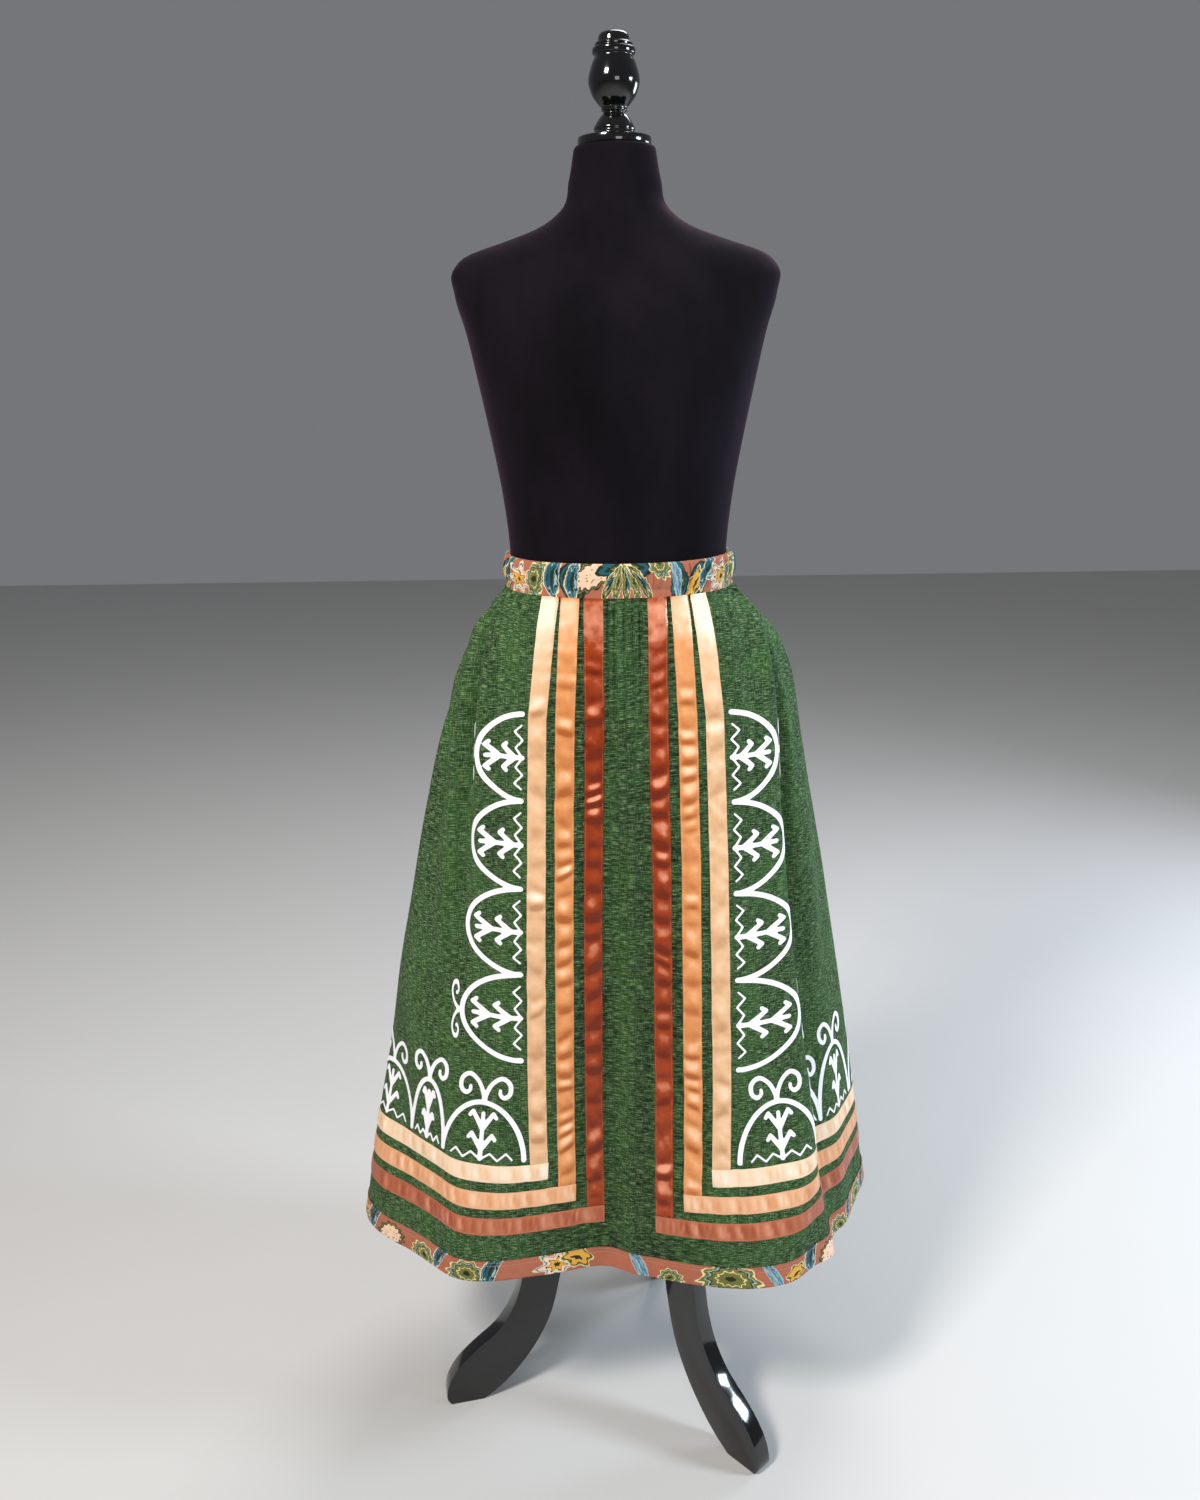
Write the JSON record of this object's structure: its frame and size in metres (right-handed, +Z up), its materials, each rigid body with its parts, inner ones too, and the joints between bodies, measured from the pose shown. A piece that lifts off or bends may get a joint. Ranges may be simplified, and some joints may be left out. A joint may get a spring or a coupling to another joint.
{
  "type": "ribbon skirt on a limbless dress form with a tripod stand",
  "caption": "Gathered A-line ribbon skirt with satin ribbons framing the front and running round the hem, worn by a velvet dress form on a cabriole tripod.",
  "frame": {"origin": "on the floor, under the middle of the hem's width and depth", "axes": "+Z up along the stand, the skirt's front towards -Y, the wearer's left towards +X"},
  "size_m": [0.68, 0.45, 1.6972],
  "materials": {
    "green_linen": "slubby cross-dyed linen, matt",
    "rust_satin": "satin ribbon",
    "orange_satin": "satin ribbon",
    "cream_satin": "satin ribbon",
    "white_applique": "smooth flat white applique",
    "printed_cotton": "printed cotton, matt",
    "black_velvet": "short pile velvet",
    "black_lacquer": "turned and shaped wood under black gloss lacquer",
    "black_pole": "black enamelled steel tube"
  },
  "bodies": {
    "root": {"skirt_front": "green_linen", "skirt_back": "green_linen", "waistband": "printed_cotton", "hem_band": "printed_cotton", "form": "black_velvet", "neck_plate": "black_lacquer", "finial": "black_lacquer", "pole": "black_pole", "hub": "black_lacquer", "leg_front_right": "black_lacquer", "leg_left": "black_lacquer", "leg_back": "black_lacquer", "ribbon_rust_left": "rust_satin", "ribbon_rust_right": "rust_satin", "ribbon_rust_round": "rust_satin", "ribbon_orange_left": "orange_satin", "ribbon_orange_right": "orange_satin", "ribbon_orange_round": "orange_satin", "ribbon_cream_left": "cream_satin", "ribbon_cream_right": "cream_satin", "ribbon_cream_round": "cream_satin"}
  },
  "joints": []
}
